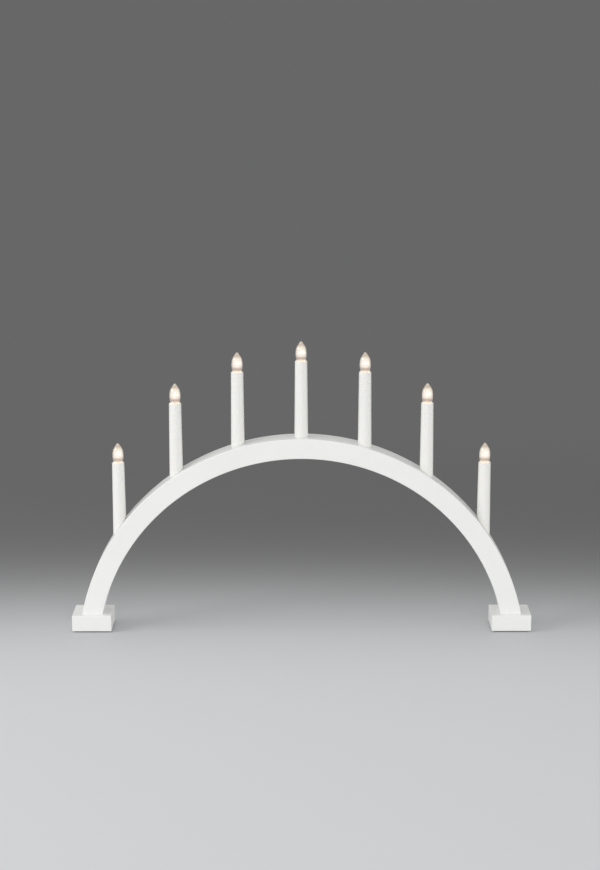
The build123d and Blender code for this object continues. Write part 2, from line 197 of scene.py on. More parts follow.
class Recipe(Nodes):
    """The node tree of one material, which reads places on the object."""

    def __init__(self, name: str) -> None:
        """Makes an empty material.

        Args:
            name: Its name.
        """
        self.material = bpy.data.materials.new(name)
        super().__init__(self.material)
        self.place = Link(self, self.node("ShaderNodeTexCoord").outputs["Object"])
        axes = self.node("ShaderNodeSeparateXYZ", Vector=self.place)
        self.x, self.y, self.z = (Link(self, axes.outputs[axis]) for axis in "XYZ")

    def vector(self, x: Number, y: Number, z: Number) -> Link:
        """Joins three numbers."""
        return Link(self, self.node("ShaderNodeCombineXYZ", X=x, Y=y, Z=z).outputs[0])

    def length(self, side: Link, depth: Link) -> Link:
        """The length of a slope with those two sides."""
        return self.maths("SQRT", side * side + depth * depth)

    def attribute(self, name: str) -> Link:
        """A number that the piece's mesh carries at each vertex."""
        return Link(self, self.node("ShaderNodeAttribute", {"attribute_name": name}).outputs["Fac"])

    def ramp(self, value: Number, stops: Stops) -> Link:
        """A colour that changes with a value from 0 to 1."""
        made = self.node("ShaderNodeValToRGB", {"stops": stops}, Fac=value)
        return Link(self, made.outputs["Color"])

    def noise(self, place: Link, layer: Layer) -> Link:
        """Soft noise from 0 to 1, read at a place in metres."""
        looks = {"Scale": 1 / layer.size, "Detail": layer.detail, "Roughness": layer.rough}
        return Link(self, self.node("ShaderNodeTexNoise", Vector=place, **looks).outputs["Fac"])

    def between(self, value: Number, low: float, high: float) -> Link:
        """A smooth step from 0 to 1.

        Args:
            value: What it depends on.
            low: The value up to which it is 0.
            high: The value from which it is 1.

        Returns:
            The step.
        """
        smooth = {"interpolation_type": "SMOOTHSTEP"}
        made = self.node("ShaderNodeMapRange", smooth, Value=value, From_Min=low, From_Max=high)
        return Link(self, made.outputs[0])

    def mix(self, share: Number, first: Colour | Link, second: Colour | Link) -> Link:
        """Mixes two colours.

        Args:
            share: How much of the second there is, from 0 to 1.
            first: The first colour.
            second: The second colour.

        Returns:
            The colour between them.
        """
        pair = {
            name: value if isinstance(value, Link) else (*value, 1)
            for name, value in (("A_Color", first), ("B_Color", second))
        }
        made = self.node("ShaderNodeMix", {"data_type": "RGBA"}, Factor_Float=share, **pair)
        return Link(self, made.outputs[2])

    def bump(self, height: Number, depth: float, under: Link | None = None) -> Link:
        """A normal bent by a relief.

        Args:
            height: The relief, from 0 to 1.
            depth: How high 1 is, in metres.
            under: A normal that it is laid over.

        Returns:
            The normal.
        """
        extra = {"Normal": under} if under else {}
        made = self.node("ShaderNodeBump", Height=height, Distance=depth, **extra)
        return Link(self, made.outputs[0])

    def shade(self, **sockets: object) -> Material:
        """Ends the tree in a principled shader.

        Args:
            **sockets: Values or links of the shader's inputs.

        Returns:
            The material.
        """
        shader = self.node("ShaderNodeBsdfPrincipled", **sockets)
        self.node("ShaderNodeOutputMaterial", Surface=shader.outputs[0])
        return self.material


class GrainRun(Enum):
    """Which way the grain of a wooden piece runs."""

    ARC = "arc"
    ALONG_X = "along_x"


@dataclass(frozen=True)
class Lacquer:
    """White satin lacquer over wood, with the grain showing through faintly."""

    name: str = "satin_lacquer"
    run: GrainRun = GrainRun.ARC
    arc_centre: float = 0.0
    arc_radius: float = 0.0
    white: Colour = (0.855, 0.857, 0.842)
    thin_white: Colour = (0.80, 0.79, 0.755)
    gloss_low: float = 0.27
    gloss_high: float = 0.36
    peel_gloss: float = 0.05
    fibre_length: float = 26 * MM
    fibre_width: float = 0.55 * MM
    fibre_depth: float = 0.018 * MM
    fibres: Layer = Layer(1.0, 4.0, 0.62)
    pore_edges: tuple[float, float] = (0.56, 0.74)
    pore_share: float = 0.35
    peel: Layer = Layer(1.3 * MM)
    peel_depth: float = 0.006 * MM
    drift: Layer = Layer(55 * MM, 3.0)
    drift_edges: tuple[float, float] = (0.35, 0.75)
    drift_share: float = 0.3

    def along(self, recipe: Recipe) -> Link:
        """Stretches the place, so that one unit is a fibre's length or width.

        Args:
            recipe: The tree that reads it.

        Returns:
            The stretched place.
        """
        long, wide = self.fibre_length, self.fibre_width
        if self.run is GrainRun.ALONG_X:
            return recipe.vector(recipe.x / long, recipe.y / wide, recipe.z / wide)
        rise = recipe.z - self.arc_centre
        travel = recipe.maths("ARCTAN2", recipe.x, rise) * self.arc_radius
        return recipe.vector(travel / long, recipe.length(recipe.x, rise) / wide, recipe.y / wide)

    def material(self) -> Material:
        """Makes the material.

        Returns:
            The material.
        """
        recipe = Recipe(self.name)
        pores = recipe.between(recipe.noise(self.along(recipe), self.fibres), *self.pore_edges)
        peel = recipe.noise(recipe.place, self.peel)
        drift = recipe.noise(recipe.place, self.drift)
        thin = pores * self.pore_share + recipe.between(drift, *self.drift_edges) * self.drift_share
        relief = recipe.bump(1 - pores, self.fibre_depth)
        span = self.gloss_high - self.gloss_low
        return recipe.shade(
            Base_Color=recipe.mix(thin, self.white, self.thin_white),
            Roughness=self.gloss_low + span * drift + self.peel_gloss * peel,
            Normal=recipe.bump(peel, self.peel_depth, relief),
        )


@dataclass(frozen=True)
class SleevePlastic:
    """Drawn white plastic with fine lines along it, with the lamp's light painted in near the rim as
    a warmer colour and a faint glow.
    """

    white: Colour = (0.86, 0.86, 0.835)
    warm: Colour = (0.835, 0.825, 0.785)
    line_length: float = 40 * MM
    line_width: float = 0.5 * MM
    line_depth: float = 0.006 * MM
    lines: Layer = Layer(1.0, 3.0)
    line_share: float = 0.2
    cloud: Layer = Layer(22 * MM)
    cloud_share: float = 0.6
    gloss: float = 0.26
    line_gloss: float = 0.08
    cloud_gloss: float = 0.06
    depth_share: float = 0.08
    depth_tint: Colour = (1.0, 0.8, 0.6)
    depth_reach: float = 0.8 * MM
    # Painted light of the lamp on the rim: its warm tint, glow colour, reach and glow strengths.
    lit_warm: Colour = (0.86, 0.825, 0.77)
    lamp_light: Colour = (1.0, 0.88, 0.75)
    lamp_reach: float = 7 * MM
    lamp_fade: float = 2.0
    painted_outer_glow: float = 0.01
    painted_mouth_glow: float = 0.22
    mouth_inner: float = 6.4 * MM
    mouth_outer: float = 7.2 * MM

    def material(self, name: str, rim: Vector) -> Material:
        """Makes the material of one sleeve.

        Args:
            name: The sleeve's name.
            rim: The middle of its rim.

        Returns:
            The material.
        """
        recipe = Recipe(name)
        width = self.line_width
        drawn = recipe.vector(recipe.x / width, recipe.y / width, recipe.z / self.line_length)
        lines = recipe.noise(drawn, self.lines)
        cloud = recipe.noise(recipe.place, self.cloud)
        # Painted light: near the rim the plastic is tinted warmer and made to glow, most inside the
        # mouth, standing in for the lamp's light on it.
        painted_lamp_light = recipe.between(recipe.z, rim.z - self.lamp_reach, rim.z) ** self.lamp_fade
        reach = recipe.length(recipe.x - rim.x, recipe.y - rim.y)
        mouth = 1 - recipe.between(reach, self.mouth_inner, self.mouth_outer)
        painted_rim_glow = painted_lamp_light * (self.painted_outer_glow + (self.painted_mouth_glow - self.painted_outer_glow) * mouth)
        shaded = cloud * self.cloud_share + lines * self.line_share
        plain = recipe.mix(shaded, self.white, self.warm)
        return recipe.shade(
            Base_Color=recipe.mix(painted_lamp_light, plain, self.lit_warm),
            Roughness=self.gloss + self.line_gloss * lines + self.cloud_gloss * cloud,
            Subsurface_Weight=self.depth_share,
            Subsurface_Radius=self.depth_tint,
            Subsurface_Scale=self.depth_reach,
            Emission_Color=recipe.mix(painted_rim_glow, (0, 0, 0), self.lamp_light),
            Emission_Strength=1.0,
            Normal=recipe.bump(lines, self.line_depth),
        )


@dataclass(frozen=True)
class MouldedPlastic:
    """Moulded plastic with a fine spark-eroded texture."""

    name: str
    colour: Colour
    shade_colour: Colour
    gloss: float = 0.42
    grit: Layer = Layer(0.35 * MM)
    grit_gloss: float = 0.12
    grit_depth: float = 0.008 * MM
    cloud: Layer = Layer(6 * MM)
    cloud_share: float = 0.7

    def material(self) -> Material:
        """Makes the material.

        Returns:
            The material.
        """
        recipe = Recipe(self.name)
        grit = recipe.noise(recipe.place, self.grit)
        cloud = recipe.noise(recipe.place, self.cloud)
        return recipe.shade(
            Base_Color=recipe.mix(cloud * self.cloud_share, self.colour, self.shade_colour),
            Roughness=self.gloss + self.grit_gloss * grit,
            Normal=recipe.bump(grit, self.grit_depth),
        )


@dataclass(frozen=True)
class PressedMetal:
    """Thin metal with drawing lines round its axis and a slight tarnish."""

    name: str
    colour: Colour
    tarnish: Colour
    gloss: float = 0.2
    lines: Layer = Layer(0.25 * MM)
    line_stretch: float = 0.05
    line_gloss: float = 0.08
    line_depth: float = 0.003 * MM
    patches: Layer = Layer(3 * MM, 4.0, 0.6)
    dull_edges: tuple[float, float] = (0.45, 0.8)
    dull_gloss: float = 0.25

    def material(self) -> Material:
        """Makes the material.

        Returns:
            The material.
        """
        recipe = Recipe(self.name)
        stretch = self.line_stretch
        rings = recipe.vector(recipe.x * stretch, recipe.y * stretch, recipe.z)
        lines = recipe.noise(rings, self.lines)
        dull = recipe.between(recipe.noise(recipe.place, self.patches), *self.dull_edges)
        return recipe.shade(
            Base_Color=recipe.mix(dull, self.colour, self.tarnish),
            Metallic=1.0,
            Roughness=self.gloss + self.dull_gloss * dull + self.line_gloss * lines,
            Normal=recipe.bump(lines, self.line_depth),
        )


@dataclass(frozen=True)
class LampGlass:
    """Clear blown glass whose thick tip gathers the light of the coil."""

    name: str = "lamp_glass"
    tint: Colour = (1.0, 0.985, 0.96)
    density: float = 1.5
    stops: Stops = (
        (0.0, (0.12, 0.115, 0.105)),
        (0.06, (0.11, 0.10, 0.09)),
        (0.14, (0.07, 0.056, 0.048)),
        (0.3, (0.13, 0.117, 0.105)),
        (0.66, (0.13, 0.117, 0.105)),
        (0.8, (0.115, 0.097, 0.082)),
        (0.93, (0.125, 0.113, 0.097)),
    )
    waves: Layer = Layer(4 * MM)
    wave_edges: tuple[float, float] = (0.5, 0.8)
    wave_depth: float = 0.012 * MM
    gloss: float = 0.01
    wave_gloss: float = 0.03

    def material(self) -> Material:
        """Makes the material.

        Returns:
            The material.
        """
        recipe = Recipe(self.name)
        waves = recipe.noise(recipe.place, self.waves)
        return recipe.shade(
            Base_Color=(*self.tint, 1),
            Transmission_Weight=1.0,
            IOR=self.density,
            Roughness=self.gloss + self.wave_gloss * recipe.between(waves, *self.wave_edges),
            Emission_Color=recipe.ramp(recipe.attribute("rise"), self.stops),
            Emission_Strength=1.0,
            Normal=recipe.bump(waves, self.wave_depth),
        )


@dataclass(frozen=True)
class Glow:
    """The light that fills the glass, denser and whiter in the shells near the coil."""

    name: str = "lamp_glow"
    thin: float = 0.26
    dense: float = 0.62
    core: tuple[float, float, float, float] = (0.18, 0.34, 0.68, 0.83)
    heart: Colour = (0.80, 0.79, 0.73)
    stops: Stops = (
        (0.0, (0.74, 0.67, 0.59)),
        (0.05, (0.74, 0.65, 0.57)),
        (0.12, (0.29, 0.22, 0.18)),
        (0.17, (0.27, 0.21, 0.175)),
        (0.28, (0.68, 0.57, 0.50)),
        (0.4, (0.79, 0.73, 0.67)),
        (0.68, (0.78, 0.70, 0.58)),
        (0.77, (0.58, 0.47, 0.38)),
        (0.84, (0.27, 0.21, 0.17)),
        (0.9, (0.25, 0.2, 0.16)),
    )

    def material(self) -> Material:
        """Makes the material.

        Returns:
            The material.
        """
        recipe = Recipe(self.name)
        depth, rise = recipe.attribute("depth"), recipe.attribute("rise")
        low, full, fades, high = self.core
        heart = depth * recipe.between(rise, low, full) * (1 - recipe.between(rise, fades, high))
        return recipe.shade(
            Base_Color=(0, 0, 0, 1),
            Specular_IOR_Level=0.0,
            Roughness=1.0,
            Alpha=self.thin + (self.dense - self.thin) * depth,
            Emission_Color=recipe.mix(heart, recipe.ramp(rise, self.stops), self.heart),
            Emission_Strength=1.0,
        )


@dataclass(frozen=True)
class HotCoil:
    """Tungsten at a white heat, less hot in places."""

    name: str = "hot_coil"
    metal: Colour = (0.2, 0.18, 0.16)
    hot: Colour = (1.0, 0.86, 0.62)
    less_hot: Colour = (1.0, 0.66, 0.34)
    strength: float = 12.0
    gloss: float = 0.5
    flicker: Layer = Layer(1.5 * MM, 1.0)
    flicker_share: float = 0.4

    def material(self) -> Material:
        """Makes the material.

        Returns:
            The material.
        """
        recipe = Recipe(self.name)
        flicker = recipe.noise(recipe.place, self.flicker) * self.flicker_share
        return recipe.shade(
            Base_Color=(*self.metal, 1),
            Roughness=self.gloss,
            Emission_Color=recipe.mix(flicker, self.hot, self.less_hot),
            Emission_Strength=self.strength,
        )


@dataclass(frozen=True)
class StemGlass:
    """The pressed glass stem, with the coil's light on it painted in as a warm glow."""

    name: str = "stem_glass"
    body: Colour = (0.80, 0.63, 0.52)
    dark: Colour = (0.56, 0.40, 0.31)
    painted_glow: float = 0.6
    gloss: float = 0.12
    ripple: Layer = Layer(1.2 * MM, 3.0)
    ripple_edges: tuple[float, float] = (0.4, 0.7)
    ripple_gloss: float = 0.1
    ripple_depth: float = 0.05 * MM

    def material(self) -> Material:
        """Makes the material.

        Returns:
            The material.
        """
        recipe = Recipe(self.name)
        ripple = recipe.noise(recipe.place, self.ripple)
        tone = recipe.mix(recipe.between(ripple, *self.ripple_edges), self.body, self.dark)
        return recipe.shade(
            Base_Color=tone,
            Roughness=self.gloss + self.ripple_gloss * ripple,
            # Painted light: the stem's colour is emitted too, standing in for the coil's light on
            # it.
            Emission_Color=tone,
            Emission_Strength=self.painted_glow,
            Normal=recipe.bump(ripple, self.ripple_depth),
        )


@dataclass(frozen=True)
class Felt:
    """Pressed grey felt."""

    name: str = "felt"
    wool: Colour = (0.34, 0.33, 0.315)
    deep: Colour = (0.16, 0.155, 0.15)
    gloss: float = 0.86
    nap: float = 0.4
    fibres: Layer = Layer(0.4 * MM, 5.0, 0.7)
    fibre_share: float = 0.6
    fibre_gloss: float = 0.12
    fibre_depth: float = 0.12 * MM
    clumps: Layer = Layer(2.2 * MM)
    clump_share: float = 0.3

    def material(self) -> Material:
        """Makes the material.

        Returns:
            The material.
        """
        recipe = Recipe(self.name)
        fibres = recipe.noise(recipe.place, self.fibres)
        clumps = recipe.noise(recipe.place, self.clumps)
        shaded = fibres * self.fibre_share + clumps * self.clump_share
        return recipe.shade(
            Base_Color=recipe.mix(shaded, self.wool, self.deep),
            Roughness=self.gloss + self.fibre_gloss * fibres,
            Sheen_Weight=self.nap,
            Normal=recipe.bump(fibres, self.fibre_depth),
        )


@dataclass(frozen=True)
class FusedGlass:
    """Black glass fused into the foot of a lamp cap."""

    name: str = "fused_glass"
    black: Colour = (0.012, 0.012, 0.016)
    smoke: Colour = (0.05, 0.045, 0.05)
    gloss: float = 0.08
    swirl: Layer = Layer(0.8 * MM, 3.0)
    swirl_gloss: float = 0.12
    swirl_depth: float = 0.02 * MM

    def material(self) -> Material:
        """Makes the material.

        Returns:
            The material.
        """
        recipe = Recipe(self.name)
        swirl = recipe.noise(recipe.place, self.swirl)
        return recipe.shade(
            Base_Color=recipe.mix(swirl, self.black, self.smoke),
            Roughness=self.gloss + self.swirl_gloss * swirl,
            Normal=recipe.bump(swirl, self.swirl_depth),
        )


HOLDER = MouldedPlastic("holder_plastic", (0.80, 0.79, 0.74), (0.72, 0.70, 0.64))
BUSHING = MouldedPlastic("bushing_plastic", (0.84, 0.84, 0.82), (0.76, 0.76, 0.73))
WIRE_COVER = MouldedPlastic("wire_cover", (0.84, 0.83, 0.79), (0.78, 0.76, 0.70), gloss=0.35)
BRASS = PressedMetal("brass", (0.78, 0.60, 0.30), (0.46, 0.32, 0.15))
LAMP_CAP = PressedMetal("lamp_cap", (0.82, 0.66, 0.36), (0.5, 0.36, 0.18))
TINNED = PressedMetal("tinned", (0.74, 0.74, 0.72), (0.5, 0.5, 0.48))
ZINC = PressedMetal("zinc", (0.68, 0.69, 0.70), (0.44, 0.44, 0.42))
LEAD_WIRE = PressedMetal("lead_wire", (0.26, 0.20, 0.17), (0.12, 0.09, 0.07), gloss=0.35)
STRIP_FIBRE_DEPTH = 0.006 * MM


class Finishes:
    """Every finish of the object, by the material slots of the record."""

    def __init__(self, arc_centre: float, arc_radius: float) -> None:
        """Makes the finishes.

        Args:
            arc_centre: The height of the arch's centre, which its grain runs round.
            arc_radius: The radius of its outer face.
        """
        on_arch = {"arc_centre": arc_centre, "arc_radius": arc_radius}
        self.lacquer = Lacquer(**on_arch).material()
        self.foot = Lacquer("foot_lacquer", GrainRun.ALONG_X).material()
        self.glass = LampGlass().material()
        self.glow = Glow().material()
        self.coil = HotCoil().material()
        self.lead = LEAD_WIRE.material()
        self.stem = StemGlass().material()
        self.felt = Felt().material()
        self.fused = FusedGlass().material()
        strip = Lacquer("cover_strip", fibre_depth=STRIP_FIBRE_DEPTH, **on_arch)
        self.by_slot = {
            "lacquered_wood": self.lacquer,
            "cover_strip": strip.material(),
            "holder_plastic": HOLDER.material(),
            "bushing_plastic": BUSHING.material(),
            "brass": BRASS.material(),
            "lamp_cap": LAMP_CAP.material(),
            "tinned_metal": TINNED.material(),
            "screw_steel": ZINC.material(),
            "wire_insulation": WIRE_COVER.material(),
            "lamp_glass": self.glass,
            "filament": self.stem,
            "insulator": self.fused,
            "felt": self.felt,
        }

    def dress(self, node: bpy.types.Object, material: Material) -> None:
        """Gives a solid its finish, and welds its loose faces.

        Args:
            node: The solid.
            material: The finish of all its slots.
        """
        for holder in node.material_slots:
            holder.material = material
        node.modifiers.new("weld", "WELD").merge_threshold = WELD


def placed(name: str, data: bpy.types.ID) -> bpy.types.Object:
    """Puts data into the scene.

    Args:
        name: The object's name.
        data: Its mesh, curve, lamp or camera.

    Returns:
        The object, at the origin.
    """
    made = bpy.data.objects.new(name, data)
    bpy.context.scene.collection.objects.link(made)
    return made


def settled(name: str, mesh: Mesh) -> bpy.types.Mesh:
    """Writes a mesh out and frees it.

    Args:
        name: The name of the written mesh.
        mesh: The mesh.

    Returns:
        The written mesh.
    """
    data = bpy.data.meshes.new(name)
    mesh.to_mesh(data)
    mesh.free()
    return data


class Shop:
    """Turns meshes into pieces of the object."""

    def __init__(self) -> None:
        """Starts with no piece made."""
        self.made: list[bpy.types.Object] = []

    def spun(
        self,
        points: Sequence[Point],
        centre: Point,
        axis: Point,
        angle: float,
        steps: int,
        climb: float = 0.0,
        ring: bool = False,
        merge: bool = False,
    ) -> Mesh:
        """Spins a line of points about an axis.

        Args:
            points: The points.
            centre: A point on the axis.
            axis: Which way the axis runs.
            angle: How far the line is turned.
            steps: How many faces the turn has.
            climb: How far it moves along the axis meanwhile.
            ring: Whether the last point is joined to the first.
            merge: Whether the end of a full turn is joined to its start.

        Returns:
            The mesh.
        """
        mesh = bmesh.new()
        verts = [mesh.verts.new(point) for point in points]
        following = verts[1:] + verts[:1] if ring else verts[1:]
        edges = [mesh.edges.new(pair) for pair in zip(verts, following)]
        bmesh.ops.spin(
            mesh,
            geom=verts + edges,
            cent=centre,
            axis=axis,
            dvec=tuple(part * climb / steps for part in axis),
            angle=angle,
            steps=steps,
            use_merge=merge,
        )
        return mesh

    def turned(self, outline: Outline, foot: Vector, steps: int, ring: bool = False) -> Mesh:
        """Turns an outline fully about an upright axis.

        Args:
            outline: Its points as radius and height above the foot.
            foot: The point on the axis that heights are measured from.
            steps: How many faces go round.
            ring: Whether the last point is joined to the first.

        Returns:
            The mesh.
        """
        points = [(foot.x + radius, foot.y, foot.z + rise) for radius, rise in outline]
        mesh = self.spun(points, foot, UPRIGHT, 2 * pi, steps, ring=ring, merge=True)
        bmesh.ops.remove_doubles(mesh, verts=mesh.verts, dist=WELD)
        bmesh.ops.recalc_face_normals(mesh, faces=mesh.faces)
        return mesh

    def cut_off(self, mesh: Mesh, place: Point, side: Point) -> None:
        """Cuts off what lies past a plane, on the side that it faces."""
        geom = [*mesh.verts, *mesh.edges, *mesh.faces]
        bmesh.ops.bisect_plane(
            mesh, geom=geom, dist=WELD, plane_co=place, plane_no=side, clear_outer=True
        )

    def join(self, mesh: Mesh, other: Mesh) -> None:
        """Adds another mesh to a mesh.

        Args:
            mesh: The mesh that grows.
            other: The one that is added, and freed.
        """
        scratch = settled("scratch", other)
        mesh.from_mesh(scratch)
        bpy.data.meshes.remove(scratch)

    def carved(self, mesh: Mesh, cutter: Mesh) -> Mesh:
        """Cuts one closed mesh out of another, and frees both.

        Args:
            mesh: The mesh that is cut.
            cutter: What is taken away.

        Returns:
            What is left.
        """
        blank = placed("blank", settled("blank", mesh))
        tool = placed("tool", settled("tool", cutter))
        cut = blank.modifiers.new("cut", "BOOLEAN")
        cut.object, cut.operation, cut.solver = tool, "DIFFERENCE", "MANIFOLD"
        shape = blank.evaluated_get(bpy.context.evaluated_depsgraph_get())
        left = bmesh.new()
        left.from_mesh(shape.to_mesh())
        shape.to_mesh_clear()
        for scrap in (blank, tool):
            data = scrap.data
            bpy.data.objects.remove(scrap)
            bpy.data.meshes.remove(data)
        return left

    def drill(self, mesh: Mesh, start: Vector, end: Vector, radius: float, steps: int) -> None:
        """Adds a round bar to a cutter.

        Args:
            mesh: The cutter.
            start: The middle of one end.
            end: The middle of the other.
            radius: The radius of the hole that it cuts.
            steps: How many faces go round.
        """
        run = end - start
        turn = run.to_track_quat("Z", "Y").to_matrix().to_4x4()
        bmesh.ops.create_cone(
            mesh,
            cap_ends=True,
            segments=steps,
            radius1=radius,
            radius2=radius,
            depth=run.length,
            matrix=Matrix.Translation((start + end) / 2) @ turn,
        )

    def fit(self, made: bpy.types.Object, body: str, slot: str) -> None:
        """Lets a piece ride on its body, and notes it.

        Args:
            made: The piece.
            body: The body that it rides on.
            slot: The record's slot for its finish; not used.
        """
        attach(made, body)
        self.made.append(made)
        LOG.info("%s made", made.name)

    def piece(
        self,
        name: str,
        mesh: Mesh,
        material: Material,
        body: str,
        slot: str,
        stands_for: Sequence[str] = (),
        sharp: float = 40.0,
    ) -> bpy.types.Object:
        """Makes a piece of a mesh.

        Args:
            name: The piece's name.
            mesh: Its mesh, which is freed.
            material: Its finish.
            body: The body that it rides on.
            slot: The record's slot for its finish.
            stands_for: The solids that it is shown for.
            sharp: The angle in degrees past which an edge stays sharp.

        Returns:
            The piece.
        """
        for face in mesh.faces:
            face.smooth = True
        for edge in mesh.edges:
            if len(edge.link_faces) == 2 and edge.calc_face_angle() > radians(sharp):
                edge.smooth = False
        made = placed(name, settled(name, mesh))
        made.data.materials.append(material)
        self.fit(made, body, slot)
        if stands_for:
            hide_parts(*stands_for)
        return made

    def only_seen(self, made: bpy.types.Object) -> None:
        """Lets a glowing piece be seen, without light or shadow on the rest."""
        made.visible_diffuse = False
        made.visible_shadow = False


def eased(points: Outline, steps: int) -> Outline:
    """Draws a smooth line through points.

    Args:
        points: The points.
        steps: How many points each stretch gets.

    Returns:
        The points of the line.
    """
    spots = [Vector(point) for point in points]
    last = len(spots) - 1
    slopes = [
        (spots[min(index + 1, last)] - spots[max(index - 1, 0)]) / 6 for index in range(last + 1)
    ]
    line: Outline = []
    for index in range(last):
        start, end = spots[index], spots[index + 1]
        leaves, arrives = start + slopes[index], end - slopes[index + 1]
        run = interpolate_bezier(start, leaves, arrives, end, steps + 1)
        line += [(point.x, point.y) for point in run[:-1]]
    return [*line, (spots[-1].x, spots[-1].y)]


def rim_middle(sleeve: str) -> Vector:
    """The middle of a sleeve's rim, from its solid's box."""
    low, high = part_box(sleeve)
    return Vector(((low.x + high.x) / 2, (low.y + high.y) / 2, high.z))


class Bend(Enum):
    """How a wire runs past its points."""

    THROUGH = "POLY"
    ROUND = "NURBS"


@dataclass(frozen=True)
class BulbSizes:
    """The sizes of a small screw lamp, with heights above the sleeve's rim and drops below it."""

    around: int = 64
    stem_around: int = 40
    small_around: int = 32
    rise: float = 23.4 * MM
    neck_radius: float = 5.6 * MM
    belly_radius: float = 6.5 * MM
    wall: float = 0.6 * MM
    tip_wall: float = 0.9 * MM
    root_radius: float = 4.5 * MM
    root_drop: float = 5.2 * MM
    root_top_drop: float = 3.0 * MM
    outline_shares: tuple[tuple[float, float], ...] = (
        (0.36, 1.0),
        (0.64, 0.89),
        (0.8, 0.62),
        (0.885, 0.38),
        (0.96, 0.23),
    )
    glass_steps: int = 6
    glass_sharp: float = 60.0
    skirt_radius: float = 4.9 * MM
    skirt_top_drop: float = 3.0 * MM
    skirt_low_drop: float = 5.5 * MM
    skirt_steps: int = 3
    bead: float = 0.12 * MM
    shoulder: float = 0.5 * MM
    crest_radius: float = 4.75 * MM
    thread_depth: float = 0.5 * MM
    thread_pitch: float = 1.814 * MM
    thread_drop: float = 6.4 * MM
    thread_fullness: float = 1.2
    thread_steps: int = 12
    thread_around: int = 48
    thread_weld: float = 10 * WELD
    spare_turns: int = 2
    cap_low_drop: float = 14.0 * MM
    cap_wall: float = 0.25 * MM
    fused_gap: float = 0.1 * MM
    fused_shoulder: tuple[float, float] = (0.35 * MM, 0.5 * MM)
    fused_curve: tuple[float, float] = (0.5 * MM, 0.25 * MM)
    fused_low_drop: float = 15.7 * MM
    fused_low_radius: float = 2.4 * MM
    contact_radius: float = 1.75 * MM
    contact_low_drop: float = 16.5 * MM
    contact_steps: int = 5
    stem_foot_radius: float = 3.8 * MM
    stem_taper: float = 0.3 * MM
    stem_flare: float = 0.4 * MM
    stem_waist_radius: float = 2.5 * MM
    stem_waist_share: float = 0.4
    stem_top_shares: tuple[float, float] = (0.68, 0.82)
    stem_rise: float = 3.6 * MM
    stem_steps: int = 4
    glow_middle_share: float = 0.42
    glow_shell_shares: tuple[float, ...] = (0.96, 0.78, 0.58, 0.38)
    glow_foot_drop: float = 1.5 * MM
    glow_sharp: float = 180.0
    lead_radius: float = 0.22 * MM
    lead_spread: float = 2.2 * MM
    lead_rise: float = 9.2 * MM
    lead_root_spread: float = 0.7 * MM
    lead_root_drop: float = 1.5 * MM
    lead_exit_spread: float = 0.9 * MM
    lead_exit_rise: float = 1.0 * MM
    lead_lean: float = 0.3 * MM
    lead_lean_share: float = 0.7
    lead_hook_low: float = 0.6 * MM
    lead_hook_high: float = 0.2 * MM
    coil_bow: float = 1.3 * MM
    coil_radius: float = 0.3 * MM
    coil_wire: float = 0.07 * MM
    coil_turns: int = 22
    coil_steps: int = 12

    @property
    def thread_root(self) -> float:
        """The radius at the bottom of the thread."""
        return self.crest_radius - self.thread_depth


